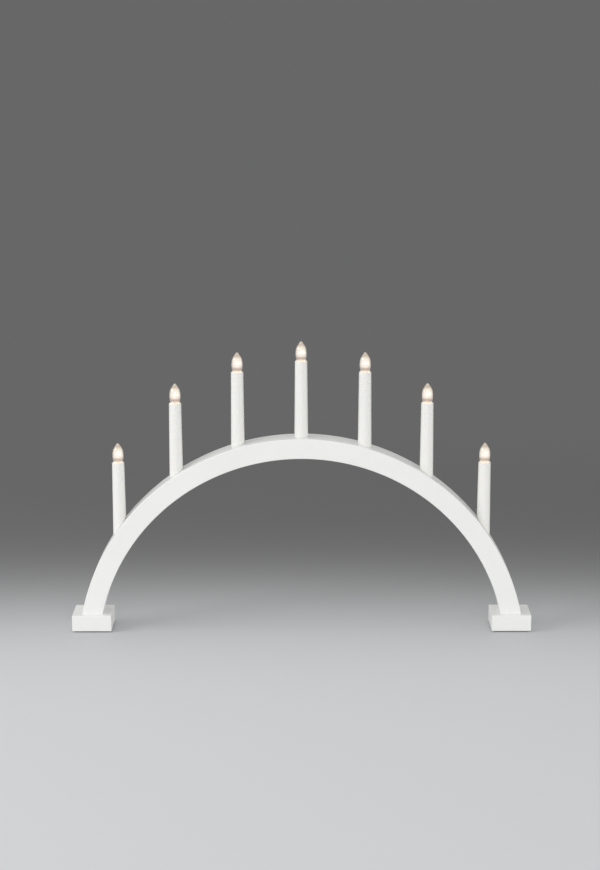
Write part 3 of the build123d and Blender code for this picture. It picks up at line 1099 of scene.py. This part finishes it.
@dataclass
class Bulb:
    """A small screw lamp: cap, glass, stem, leads, coil and the light round it."""

    number: int
    rim: Vector
    shop: Shop
    finishes: Finishes
    sizes: BulbSizes = BulbSizes()

    @property
    def body(self) -> str:
        """The body that the glass, cap and stem ride on."""
        return f"bulb_{self.number}"

    def name(self, part: str) -> str:
        """The name of one of its pieces."""
        return f"bulb_{self.number}_{part}"

    def glass_line(self, inset: float, top: float) -> Outline:
        """Draws half of the glass's outline, from its root to the axis.

        Args:
            inset: How far it lies inside the outer face.
            top: Its height on the axis.

        Returns:
            The points of the outline.
        """
        sizes = self.sizes
        points = [
            (sizes.root_radius - inset, -sizes.root_drop),
            (sizes.root_radius - inset, -sizes.root_top_drop),
            (sizes.neck_radius - inset, 0),
        ]
        for rise_share, radius_share in sizes.outline_shares:
            radius = radius_share * sizes.belly_radius - inset
            if radius > inset or not inset:
                points.append((radius, rise_share * (sizes.rise - inset)))
        return eased([*points, (0, top)], sizes.glass_steps)

    def inner_line(self) -> Outline:
        """Half of the outline of the glass's inner face."""
        sizes = self.sizes
        return self.glass_line(sizes.wall, sizes.rise - sizes.wall - sizes.tip_wall)

    def mark_rise(self, mesh: Mesh) -> None:
        """Notes at each vertex how far up the lamp it lies, from 0 at the rim to 1 at the tip.

        Args:
            mesh: The mesh that gets the note.
        """
        layer = mesh.verts.layers.float.new("rise")
        for vert in mesh.verts:
            vert[layer] = (vert.co.z - self.rim.z) / self.sizes.rise

    def make_glass(self) -> None:
        """Blows the glass: an outer face and an inner one, joined at the root."""
        sizes = self.sizes
        outline = [*self.glass_line(0, sizes.rise), *reversed(self.inner_line())]
        mesh = self.shop.turned(outline, self.rim, sizes.around, ring=True)
        self.mark_rise(mesh)
        name, solids, finish = self.name("envelope"), [self.name("glass")], self.finishes.glass
        self.shop.piece(name, mesh, finish, self.body, "lamp_glass", solids, sizes.glass_sharp)

    def make_light(self) -> None:
        """Fills the glass with light, as closed shells one inside the other."""
        sizes = self.sizes
        middle = sizes.glow_middle_share * sizes.rise
        inner = [point for point in self.inner_line() if point[1] >= -sizes.glow_foot_drop]
        mesh = bmesh.new()
        depth = mesh.verts.layers.float.new("depth")
        for index, share in enumerate(sizes.glow_shell_shares):
            line = [(radius * share, middle + (rise - middle) * share) for radius, rise in inner]
            shell = self.shop.turned([(0, line[0][1]), *line], self.rim, sizes.small_around)
            before = len(mesh.verts)
            self.shop.join(mesh, shell)
            mesh.verts.ensure_lookup_table()
            for vert in mesh.verts[before:]:
                vert[depth] = index / (len(sizes.glow_shell_shares) - 1)
        self.mark_rise(mesh)
        name, finish = self.name("glow"), self.finishes.glow
        glow = self.shop.piece(name, mesh, finish, self.body, "filament", sharp=sizes.glow_sharp)
        self.shop.only_seen(glow)

    def thread_line(self) -> Outline:
        """Draws one pitch of the rolled thread.

        Returns:
            Its points, as radius and height.
        """
        sizes, line = self.sizes, []
        for step in range(sizes.thread_steps + 1):
            share = step / sizes.thread_steps
            swell = (0.5 - 0.5 * cos(2 * pi * share)) ** sizes.thread_fullness
            radius = sizes.crest_radius - sizes.thread_depth * (1 - swell)
            line.append((radius, share * sizes.thread_pitch))
        return line

    def make_cap(self) -> None:
        """Rolls the cap: a beaded skirt, a shoulder, and a right-hand thread wound as one helix."""
        sizes, shop = self.sizes, self.shop
        bead, top, low = sizes.bead, -sizes.skirt_top_drop, -sizes.skirt_low_drop
        skirt = [
            (sizes.skirt_radius - 2 * bead, top),
            (sizes.skirt_radius, top - bead),
            (sizes.skirt_radius - bead / 2, top - 3 * bead),
            (sizes.skirt_radius - bead / 2, low),
            (sizes.thread_root + bead, low - sizes.shoulder),
            (sizes.thread_root, -sizes.thread_drop),
        ]
        mesh = shop.turned(eased(skirt, sizes.skirt_steps), self.rim, sizes.around)
        turns = (sizes.cap_low_drop - sizes.thread_drop) / sizes.thread_pitch + sizes.spare_turns
        foot = self.rim - Vector((0, 0, sizes.cap_low_drop + sizes.thread_pitch))
        points = [(foot.x + radius, foot.y, foot.z + rise) for radius, rise in self.thread_line()]
        steps, climb = round(turns * sizes.thread_around), turns * sizes.thread_pitch
        tube = shop.spun(points, foot, UPRIGHT, 2 * pi * turns, steps, climb)
        bmesh.ops.remove_doubles(tube, verts=tube.verts, dist=sizes.thread_weld)
        for drop, side in ((sizes.thread_drop, 1), (sizes.cap_low_drop, -1)):
            shop.cut_off(tube, self.rim - Vector((0, 0, drop)), (0, 0, side))
        shop.join(mesh, tube)
        bmesh.ops.recalc_face_normals(mesh, faces=mesh.faces)
        name, solids = self.name("screw_cap"), [self.name("cap")]
        finish = self.finishes.by_slot["lamp_cap"]
        cap = shop.piece(name, mesh, finish, self.body, "lamp_cap", solids)
        wall = cap.modifiers.new("wall", "SOLIDIFY")
        wall.thickness, wall.offset = sizes.cap_wall, -1

    def make_foot(self) -> None:
        """Makes the cap's foot: fused black glass with a solder contact on it."""
        sizes, shop = self.sizes, self.shop
        top, low = -sizes.cap_low_drop, -sizes.fused_low_drop
        slope = [
            (0, top - sizes.fused_gap),
            (sizes.thread_root, top - sizes.fused_gap),
            (sizes.thread_root - sizes.fused_shoulder[0], top - sizes.fused_shoulder[1]),
            (sizes.fused_low_radius + sizes.fused_curve[0], low + sizes.fused_curve[1]),
            (sizes.fused_low_radius, low),
            (0, low),
        ]
        mesh = shop.turned(slope, self.rim, sizes.around)
        lift, solids, fused = f"lift_{self.number}", [self.name("tip")], self.finishes.fused
        shop.piece(self.name("fused_foot"), mesh, fused, lift, "insulator", solids)
        deep = sizes.contact_low_drop - sizes.fused_low_drop
        turns = [step / sizes.contact_steps * pi / 2 for step in range(sizes.contact_steps)]
        dome = [(sizes.contact_radius * cos(turn), low - deep * sin(turn)) for turn in turns]
        dome = [(0, low), *dome, (0, -sizes.contact_low_drop)]
        mesh = shop.turned(dome, self.rim, sizes.small_around)
        metal = self.finishes.by_slot["tinned_metal"]
        shop.piece(self.name("contact"), mesh, metal, lift, "tinned_metal")

    def make_stem(self) -> None:
        """Presses the stem: a flared foot, a waist and a rounded top."""
        sizes = self.sizes
        radius_share, rise_share = sizes.stem_top_shares
        line = [
            (sizes.stem_foot_radius, -sizes.root_drop),
            (sizes.stem_foot_radius - sizes.stem_taper, -sizes.root_drop / 2),
            (sizes.stem_waist_radius + sizes.stem_flare, 0),
            (sizes.stem_waist_radius, sizes.stem_waist_share * sizes.stem_rise),
            (radius_share * sizes.stem_waist_radius, rise_share * sizes.stem_rise),
            (0, sizes.stem_rise),
        ]
        line = [(0, -sizes.root_drop), *eased(line, sizes.stem_steps)]
        mesh = self.shop.turned(line, self.rim, sizes.stem_around)
        name, solids = self.name("stem"), [self.name("filament")]
        self.shop.piece(name, mesh, self.finishes.stem, self.body, "filament", solids)

    def wire(
        self,
        part: str,
        points: Sequence[Vector],
        radius: float,
        bend: Bend,
        material: Material,
        slot: str,
    ) -> bpy.types.Object:
        """Bends a round wire along points.

        Args:
            part: The piece's name in the lamp.
            points: Its points, from the rim's middle.
            radius: Half its thickness.
            bend: How it runs past them.
            material: Its finish.
            slot: The record's slot for its finish.

        Returns:
            The piece.
        """
        data = bpy.data.curves.new(self.name(part), "CURVE")
        data.dimensions = "3D"
        data.bevel_depth = radius
        data.bevel_resolution = 1
        data.use_fill_caps = True
        spline = data.splines.new(bend.value)
        spline.points.add(len(points) - 1)
        for target, point in zip(spline.points, points):
            target.co = (*(self.rim + point), 1)
        if bend is Bend.ROUND:
            spline.order_u = 3
            spline.use_endpoint_u = True
        data.materials.append(material)
        made = placed(self.name(part), data)
        self.shop.fit(made, self.body, slot)
        return made

    def make_coil(self) -> None:
        """Hangs the coil, a helix along a shallow bow."""
        sizes = self.sizes
        count = sizes.coil_turns * sizes.coil_steps
        points = []
        for step in range(count + 1):
            along = 2 * step / count - 1
            rise = sizes.lead_rise + sizes.coil_bow * (1 - along**2)
            bow = Vector((along * sizes.lead_spread, 0, rise))
            run = Vector((sizes.lead_spread, 0, -2 * along * sizes.coil_bow)).normalized()
            out = Vector((-run.z, 0, run.x))
            turn = 2 * pi * step / sizes.coil_steps
            points.append(bow + sizes.coil_radius * (out * cos(turn) + Vector((0, sin(turn), 0))))
        finish = self.finishes.coil
        coil = self.wire("coil", points, sizes.coil_wire, Bend.THROUGH, finish, "filament")
        self.shop.only_seen(coil)

    def make_leads(self) -> None:
        """Bends the two leads that rise from the stem and hold the coil."""
        sizes = self.sizes
        spread, top = sizes.lead_spread, sizes.lead_rise
        path = [
            (sizes.lead_root_spread, sizes.stem_rise - sizes.lead_root_drop),
            (sizes.lead_exit_spread, sizes.stem_rise + sizes.lead_exit_rise),
            (spread - sizes.lead_lean, sizes.lead_lean_share * top),
            (spread, top - sizes.lead_hook_low),
            (spread, top + sizes.lead_hook_high),
        ]
        for side, part in ((-1, "lead_left"), (1, "lead_right")):
            points = [Vector((side * out, 0, rise)) for out, rise in path]
            finish = self.finishes.lead
            self.wire(part, points, sizes.lead_radius, Bend.ROUND, finish, "tinned_metal")

    def make(self) -> None:
        """Makes all its pieces."""
        self.make_glass()
        self.make_light()
        self.make_cap()
        self.make_foot()
        self.make_stem()
        self.make_coil()
        self.make_leads()


@dataclass(frozen=True)
class PadSizes:
    """The sizes of the felt pads under the feet."""

    radius: float = 4.5 * MM
    inset: float = 2.5 * MM
    around: int = 56
    soft_edge: float = 0.3 * MM
    edge_steps: int = 3
    corner: float = pi / 4
    cut_wave: float = 0.06 * MM
    cut_waves: int = 7
    sharp: float = 60.0


@dataclass(frozen=True)
class ArchSizes:
    """The sizes of the bent wood."""

    half_span: float = 263.3 * MM
    rise: float = 215.8 * MM
    thickness: float = 24 * MM
    depth: float = 30 * MM
    edge: float = 0.9 * MM
    edge_steps: int = 6
    rebate_width: float = 12 * MM
    rebate_depth: float = 1.6 * MM
    channel_width: float = 9 * MM
    channel_depth: float = 5.5 * MM
    seat_radius: float = 8.2 * MM
    wire_hole_radius: float = 2.6 * MM
    inlet_radius: float = 3.55 * MM
    screw_hole_radius: float = 2.05 * MM
    screw_inset: float = 6.5 * MM
    screw_room: float = 0.3 * MM
    hole_around: int = 64
    overrun: float = 2 * MM
    steps: int = 320

    @property
    def radius(self) -> float:
        """The radius of the outer face."""
        return (self.half_span**2 + self.rise**2) / (2 * self.rise)

    @property
    def inner_radius(self) -> float:
        """The radius of the inner face."""
        return self.radius - self.thickness


@dataclass
class Stand:
    """The wooden arch on its feet, with the candle sleeves and what they hold."""

    finishes: Finishes
    shop: Shop
    feet: tuple[str, str] = ("foot_left", "foot_right")
    pads: PadSizes = PadSizes()
    arch: ArchSizes = ArchSizes()

    def bent(self, centre: float, low: float) -> Mesh:
        """Bends the wood: a strip with a rebate and a channel in its inner face, and soft edges.

        Args:
            centre: The height of the arch's centre.
            low: The height that its ends are cut off at.

        Returns:
            The mesh.
        """
        sizes, shop = self.arch, self.shop
        inner, side = sizes.inner_radius, sizes.depth / 2
        half = [
            (inner + sizes.channel_depth, sizes.channel_width / 2),
            (inner + sizes.rebate_depth, sizes.channel_width / 2),
            (inner + sizes.rebate_depth, sizes.rebate_width / 2),
            (inner, sizes.rebate_width / 2),
        ]
        for middle, start in ((inner + sizes.edge, -pi / 2), (sizes.radius - sizes.edge, 0)):
            for step in range(sizes.edge_steps + 1):
                turn = start + step / sizes.edge_steps * pi / 2
                out = side - sizes.edge + sizes.edge * cos(turn)
                half.append((middle + sizes.edge * sin(turn), out))
        outline = [*half, *((radius, -y) for radius, y in reversed(half))]
        reach = acos((low - sizes.overrun - centre) / sizes.radius) + sizes.overrun / inner
        points = [(-radius * sin(reach), y, centre + radius * cos(reach)) for radius, y in outline]
        mesh = shop.spun(points, (0, 0, centre), (0, 1, 0), 2 * reach, sizes.steps, ring=True)
        shop.cut_off(mesh, (0, 0, low), (0, 0, -1))
        open_edges = [edge for edge in mesh.edges if edge.is_boundary]
        bmesh.ops.holes_fill(mesh, edges=open_edges, sides=0)
        bmesh.ops.recalc_face_normals(mesh, faces=mesh.faces)
        return mesh

    def bores(self, centre: float, low: float) -> tuple[Mesh, Mesh]:
        """Places the bores, in two cutters as the wide ones and the deep ones overlap.

        Args:
            centre: The height of the arch's centre.
            low: The height of its ends.

        Returns:
            The cutter of the sleeves' seats and the cord's inlet, and that of the wires' and
            screws' holes.
        """
        sizes, drill, around = self.arch, self.shop.drill, self.arch.hole_around
        wide, deep = bmesh.new(), bmesh.new()
        middle = Vector((0, 0, centre))
        channel = sizes.inner_radius + (sizes.rebate_depth + sizes.channel_depth) / 2
        for number in CANDLES:
            seat, rim = (corner.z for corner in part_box(f"candle_sleeve_{number}"))
            x = rim_middle(f"candle_sleeve_{number}").x
            floor = Vector((x, 0, seat))
            drill(wide, floor, Vector((x, 0, rim)), sizes.seat_radius, around)
            out = (floor - middle).normalized()
            end = floor + out * sizes.overrun
            drill(deep, middle + out * channel, end, sizes.wire_hole_radius, around)
        start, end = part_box("cord_bushing")
        inlet = (start + end) / 2
        back = Vector((inlet.x, sizes.depth / 2 + sizes.overrun, inlet.z))
        drill(wide, Vector((inlet.x, 0, inlet.z)), back, sizes.inlet_radius, around)
        drop = low - centre
        leg = (sqrt(sizes.inner_radius**2 - drop**2) + sizes.half_span) / 2
        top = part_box("foot_screws")[1].z + sizes.screw_room
        reach = sizes.depth / 2 - sizes.screw_inset
        for x in (-leg, leg):
            for y in (-reach, reach):
                start, end = Vector((x, y, low - sizes.overrun)), Vector((x, y, top))
                drill(deep, start, end, sizes.screw_hole_radius, around)
        return wide, deep

    def make_arch(self) -> None:
        """Bends the arch and bores it for the sleeves, the wires, the cord and the foot screws."""
        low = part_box(self.feet[0])[1].z
        centre = low + self.arch.rise - self.arch.radius
        mesh = self.bent(centre, low)
        for cutter in self.bores(centre, low):
            mesh = self.shop.carved(mesh, cutter)
        finish = self.finishes.lacquer
        wood = self.shop.piece("bent_arch", mesh, finish, "stand", "lacquered_wood", ["arch"])
        wood.modifiers.new("even", "WEIGHTED_NORMAL").keep_sharp = True

    def pad(self, mesh: Mesh, middle: Vector, thickness: float) -> None:
        """Adds one felt pad: a disc with a soft edge, cut a little unevenly.

        Args:
            mesh: The mesh that gets it.
            middle: The middle of the pad.
            thickness: Its thickness.
        """
        sizes = self.pads
        disc = bmesh.ops.create_cone(
            mesh,
            cap_ends=True,
            segments=sizes.around,
            radius1=sizes.radius,
            radius2=sizes.radius,
            depth=thickness,
        )["verts"]
        for vert in disc:
            wave = 1 + sin(sizes.cut_waves * atan2(vert.co.y, vert.co.x) + middle.x / MM)
            swell = 1 - wave * sizes.cut_wave / sizes.radius
            vert.co.x, vert.co.y = vert.co.x * swell, vert.co.y * swell
        bmesh.ops.translate(mesh, verts=disc, vec=middle)
        edges = dict.fromkeys(edge for vert in disc for edge in vert.link_edges)
        bmesh.ops.bevel(
            mesh,
            geom=[edge for edge in edges if edge.calc_face_angle() > sizes.corner],
            offset=sizes.soft_edge,
            segments=sizes.edge_steps,
            profile=0.5,
            affect="EDGES",
            material=-1,
        )

    def make_pads(self) -> None:
        """Sticks a felt pad under each corner of each foot."""
        mesh, sizes = bmesh.new(), self.pads
        reach = sizes.radius + sizes.inset
        for foot in self.feet:
            low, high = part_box(foot)
            for x in (low.x + reach, high.x - reach):
                for y in (low.y + reach, high.y - reach):
                    self.pad(mesh, Vector((x, y, low.z / 2)), low.z)
        felt, solids = self.finishes.felt, ["foot_pads"]
        pads = self.shop.piece("felt_pads", mesh, felt, "stand", "felt", solids, sizes.sharp)

    def make(self) -> None:
        """Dresses every solid in the finish of its slot, and makes the arch and the pads."""
        for part in frame["record"]["subparts"]:
            name, slot = part["node"], part["material_slot"]
            if name in self.feet:
                material = self.finishes.foot
            elif slot == "sleeve_plastic":
                material = SleevePlastic().material(name, rim_middle(name))
            else:
                material = self.finishes.by_slot[slot]
            self.finishes.dress(frame["nodes"][name], material)
        LOG.info("%d solids dressed", len(frame["nodes"]))
        self.make_arch()
        self.make_pads()


@dataclass(frozen=True)
class Viewpoint:
    """The photograph's camera, worked out from the outline of the arch."""

    place: tuple[float, float, float] = (6.6 * MM, -2040.2 * MM, 718.5 * MM)
    pitch_down: float = 13.25
    turn_left: float = 0.226
    roll: float = -0.124
    focal_pixels: float = 1776.35
    frame_height: float = 870.0
    sensor: float = 36.0

    def make(self) -> None:
        """Adds the camera and makes it the scene's."""
        data = bpy.data.cameras.new("camera")
        data.sensor_width = self.sensor
        data.lens = self.focal_pixels / self.frame_height * self.sensor
        camera = placed("camera", data)
        camera.matrix_world = (
            Matrix.Translation(self.place)
            @ Matrix.Rotation(radians(self.turn_left), 4, "Z")
            @ Matrix.Rotation(radians(90 - self.pitch_down), 4, "X")
            @ Matrix.Rotation(radians(self.roll), 4, "Z")
        )
        bpy.context.scene.camera = camera


@dataclass(frozen=True)
class Softbox:
    """A large soft lamp."""

    name: str
    place: tuple[float, float, float]
    aim: tuple[float, float, float]
    width: float
    height: float
    level: float

    def make(self) -> None:
        """Adds the lamp. At level 1 a white face that looks at it comes out white."""
        data = bpy.data.lights.new(self.name, "AREA")
        data.shape = "RECTANGLE"
        data.size, data.size_y = self.width, self.height
        away = Vector(self.aim) - Vector(self.place)
        data.energy = self.level * pi**2 * away.length_squared
        lamp = placed(self.name, data)
        lamp.location = self.place
        lamp.rotation_mode = "QUATERNION"
        lamp.rotation_quaternion = away.to_track_quat("-Z", "Y")
        lamp.visible_camera = False


@dataclass(frozen=True)
class Studio:
    """A floor with a patch of painted light round the arch that fades to grey, soft lamps and grey
    surroundings.
    """

    grey: float = 0.136
    ambient: float = 0.73
    floor_radius: float = 14.0
    floor_around: int = 96
    floor_roughness: float = 0.7
    floor_shine: float = 0.2
    # The floor's colour inside the patch of painted light round the arch, and further out.
    painted_pool_colour: Colour = (0.655, 0.665, 0.675)
    far: Colour = (0.152, 0.152, 0.152)
    # Place, width, edge and softness of the patch of painted light.
    pool_middle: float = -0.5
    pool_width_share: float = 0.42
    pool_edge: float = 0.60
    pool_softness: float = 0.083
    haze_from: float = 0.9
    haze_full: float = 1.7
    haze_side_share: float = 0.82
    lamps: tuple[Softbox, ...] = (
        Softbox("front_lamp", (0.0, -3.2, 0.5), (0.0, 0.0, 0.15), 2.4, 1.0, 0.26),
        Softbox("left_lamp", (-2.6, -0.7, 1.6), (0.0, 0.0, 0.15), 1.7, 1.2, 0.32),
        Softbox("low_left_lamp", (-2.2, -0.9, 0.3), (0.2, 0.0, 0.05), 1.6, 0.6, 0.03),
        Softbox("low_right_lamp", (2.2, -0.9, 0.3), (-0.2, 0.0, 0.05), 1.6, 0.6, 0.095),
    )

    def make_floor(self) -> None:
        """Lays the floor, with light painted into its colour in a patch round the arch, and hazes it
        over far away.
        """
        recipe = Recipe("floor")
        away = recipe.length(recipe.x * self.pool_width_share, recipe.y - self.pool_middle)
        # Painted light: the floor's colour is light in a patch round the arch and darker further
        # out, standing in for the lamps' light falling off.
        painted_light_pool = 1 / (1 + recipe.maths("EXPONENT", (away - self.pool_edge) / self.pool_softness))
        near = recipe.node(
            "ShaderNodeBsdfPrincipled",
            Base_Color=recipe.mix(painted_light_pool, self.far, self.painted_pool_colour),
            Roughness=self.floor_roughness,
            Specular_IOR_Level=self.floor_shine,
        )
        grey = recipe.node("ShaderNodeEmission", Color=(self.grey, self.grey, self.grey, 1))
        sideways = recipe.maths("ABSOLUTE", recipe.x) * self.haze_side_share
        distance = recipe.maths("MAXIMUM", away, sideways)
        haze = recipe.between(distance, self.haze_from, self.haze_full)
        surface = recipe.blend(haze * recipe.seen(), near, grey)
        recipe.node("ShaderNodeOutputMaterial", Surface=surface)
        mesh = bmesh.new()
        bmesh.ops.create_circle(
            mesh, cap_ends=True, segments=self.floor_around, radius=self.floor_radius
        )
        floor = placed("floor", settled("floor", mesh))
        floor.data.materials.append(recipe.material)

    def make_world(self) -> None:
        """Sets what surrounds the scene: even light, seen as grey."""
        world = bpy.data.worlds.new("surroundings")
        bpy.context.scene.world = world
        nodes = Nodes(world)
        light = nodes.node("ShaderNodeBackground", Color=(1, 1, 1, 1), Strength=self.ambient)
        grey = nodes.node("ShaderNodeBackground", Color=(self.grey, self.grey, self.grey, 1))
        nodes.node("ShaderNodeOutputWorld", Surface=nodes.blend(nodes.seen(), light, grey))

    def make(self) -> None:
        """Makes the floor, the surroundings and the lamps."""
        self.make_floor()
        self.make_world()
        for lamp in self.lamps:
            lamp.make()
        bpy.context.scene.view_settings.view_transform = "Standard"


def main() -> None:
    """Builds the scene round the frame."""
    logging.basicConfig(level=logging.INFO, format="%(name)s: %(message)s")
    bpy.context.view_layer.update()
    low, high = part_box("arch")
    half_width = (high.x - low.x) / 2
    height = high.z - low.z
    radius = (half_width**2 + height**2) / (2 * height)
    finishes = Finishes(high.z - radius, radius)
    shop = Shop()
    Viewpoint().make()
    Studio().make()
    Stand(finishes, shop).make()
    for number in CANDLES:
        Bulb(number, rim_middle(f"candle_sleeve_{number}"), shop, finishes).make()
    LOG.info("%d new pieces", len(shop.made))


if __name__ == "__main__":
    main()
